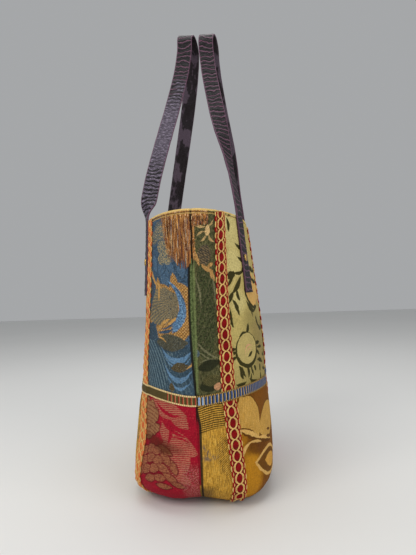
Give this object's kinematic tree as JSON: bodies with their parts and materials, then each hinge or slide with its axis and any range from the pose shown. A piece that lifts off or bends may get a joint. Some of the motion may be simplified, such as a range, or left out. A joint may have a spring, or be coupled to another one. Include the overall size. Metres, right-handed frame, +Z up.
{
  "type": "tote bag",
  "caption": "Upright patchwork tote bag of floral tapestry cloth with woven ribbon and gimp braid trims, a cloth lining and two riveted leather shoulder straps",
  "frame": {"origin": "middle of the footprint, on the surface that the bag stands on", "axes": "+X along the bag's width, front wall towards -Y, +Z up"},
  "size_m": [0.284, 0.173, 0.5922],
  "materials": {
    "blue_brocade": "woven floral brocade in blue and tan",
    "green_brocade": "woven floral brocade in dark green",
    "cream_brocade": "woven floral brocade in khaki cream with olive stems",
    "crimson_brocade": "woven floral brocade in crimson and tan",
    "gold_brocade": "woven brocade in yellow gold with dark hatching",
    "ochre_brocade": "woven brocade in ochre brown with gold petals",
    "base_cloth": "plain sturdy brown cloth",
    "lining_cloth": "plain tan cotton twill",
    "blue_ribbon": "striped blue and gold ribbon",
    "olive_ribbon": "olive ribbon with cream edges",
    "red_braid": "looped gimp braid in red and cream",
    "orange_braid": "looped gimp braid in salmon and cream",
    "strap_leather": "dark embossed leather with a soft sheen",
    "brass": "bright brass"
  },
  "bodies": {
    "root": {"back_lower_patch_1": "crimson_brocade", "back_lower_patch_2": "gold_brocade", "back_lower_patch_3": "crimson_brocade", "back_upper_patch_1": "blue_brocade", "back_upper_patch_2": "cream_brocade", "back_upper_patch_3": "green_brocade", "front_lower_patch_1": "gold_brocade", "front_lower_patch_2": "ochre_brocade", "front_lower_patch_3": "crimson_brocade", "front_lower_patch_4": "gold_brocade", "front_upper_patch_1": "green_brocade", "front_upper_patch_2": "cream_brocade", "front_upper_patch_3": "blue_brocade", "front_upper_patch_4": "green_brocade", "base_panel": "base_cloth", "lining_front": "lining_cloth", "lining_back": "lining_cloth", "lining_base": "lining_cloth", "ribbon_front": "blue_ribbon", "ribbon_back": "olive_ribbon", "braid_front_1": "red_braid", "braid_front_2": "red_braid", "braid_front_3": "red_braid", "braid_back_1": "orange_braid", "braid_back_2": "orange_braid", "strap_front": "strap_leather", "strap_back": "strap_leather", "rivet_front_1": "brass", "rivet_front_2": "brass", "rivet_back_1": "brass", "rivet_back_2": "brass"}
  },
  "joints": []
}
